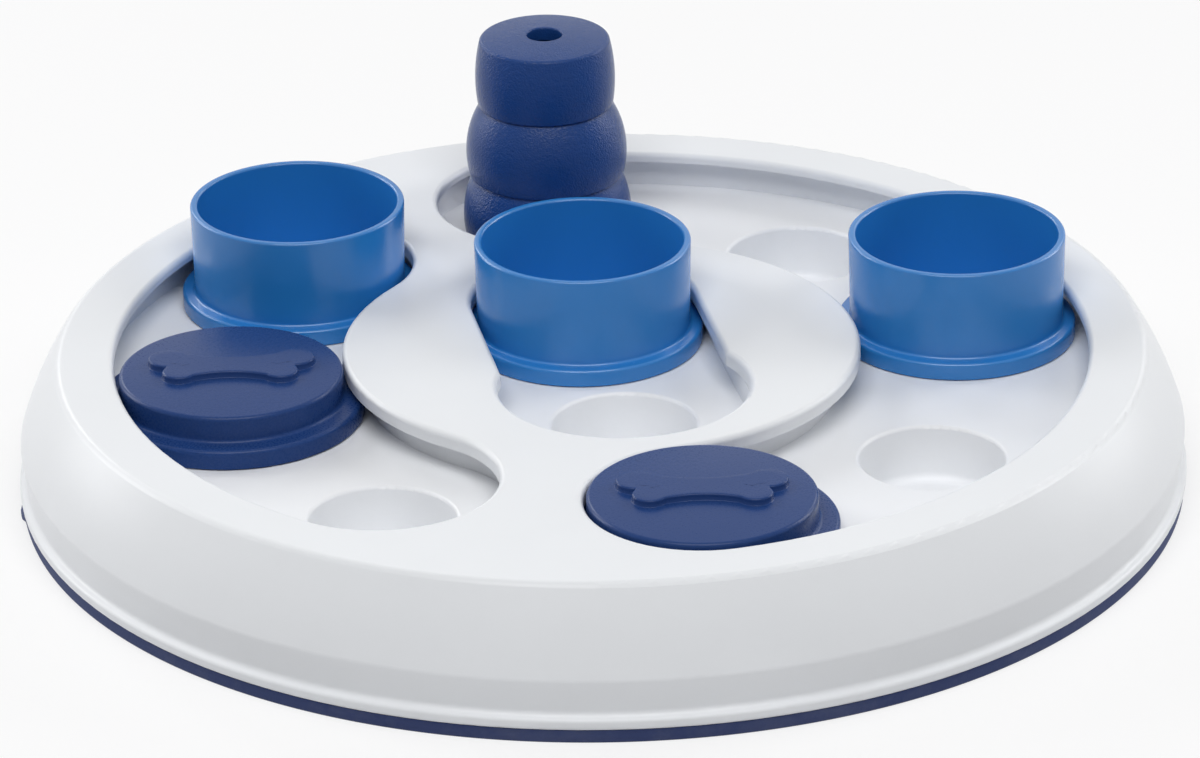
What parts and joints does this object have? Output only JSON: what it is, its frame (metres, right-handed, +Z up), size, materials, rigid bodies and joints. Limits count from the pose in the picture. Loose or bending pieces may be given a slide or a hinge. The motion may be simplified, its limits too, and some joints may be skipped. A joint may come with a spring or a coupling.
{
  "type": "dog puzzle feeder toy",
  "caption": "Round treat board with sliding open cups, sliding lids with a raised bone grip, treat wells beneath them and a lift-off snack cone, on a non-slip ring.",
  "frame": {"origin": "on the board's vertical axis, at the plane it stands on", "axes": "+Z up along the board's axis; +Y towards the snack cone's side, the back; +X to the right of someone who faces the back from the front lid's side"},
  "size_m": [0.251, 0.251, 0.0711],
  "materials": {
    "white_plastic": "fine satin",
    "pale_grey_plastic": "satin",
    "blue_plastic": "satin",
    "navy_plastic": "fine textured satin",
    "navy_rubber": "matt",
    "steel": "zinc plated"
  },
  "bodies": {
    "board": {"top_cover": "white_plastic", "tray": "pale_grey_plastic", "non_slip_ring": "navy_rubber", "cover_screws": "steel"},
    "left_cup": {"left_cup": "blue_plastic"},
    "centre_cup": {"centre_cup": "blue_plastic"},
    "right_cup": {"right_cup": "blue_plastic"},
    "left_lid": {"left_lid": "navy_plastic"},
    "front_lid": {"front_lid": "navy_plastic"},
    "snack_cone": {"snack_cone": "navy_plastic"}
  },
  "joints": [
    {"name": "left_cup_slide", "type": "hinge", "parent": "board", "child": "left_cup", "pos_m": [0, 0, 0.0223], "axis": [0, 0, 1], "range_deg": [0, 3.8]},
    {"name": "left_lid_slide", "type": "hinge", "parent": "board", "child": "left_lid", "pos_m": [0, 0, 0.0223], "axis": [0, 0, 1], "range_deg": [0, 44]},
    {"name": "right_cup_slide", "type": "hinge", "parent": "board", "child": "right_cup", "pos_m": [0, 0, 0.0223], "axis": [0, 0, 1], "range_deg": [-26, 48]},
    {"name": "front_lid_slide", "type": "hinge", "parent": "board", "child": "front_lid", "pos_m": [0, 0, 0.0223], "axis": [0, 0, 1], "range_deg": [0, 24.5]},
    {"name": "centre_cup_slide", "type": "slide", "parent": "board", "child": "centre_cup", "axis": [0.1857, -0.9826, 0], "range_m": [0, 0.0446]},
    {"name": "cone_lift", "type": "slide", "parent": "board", "child": "snack_cone", "axis": [0, 0, 1], "range_m": [0, 0.06]}
  ]
}
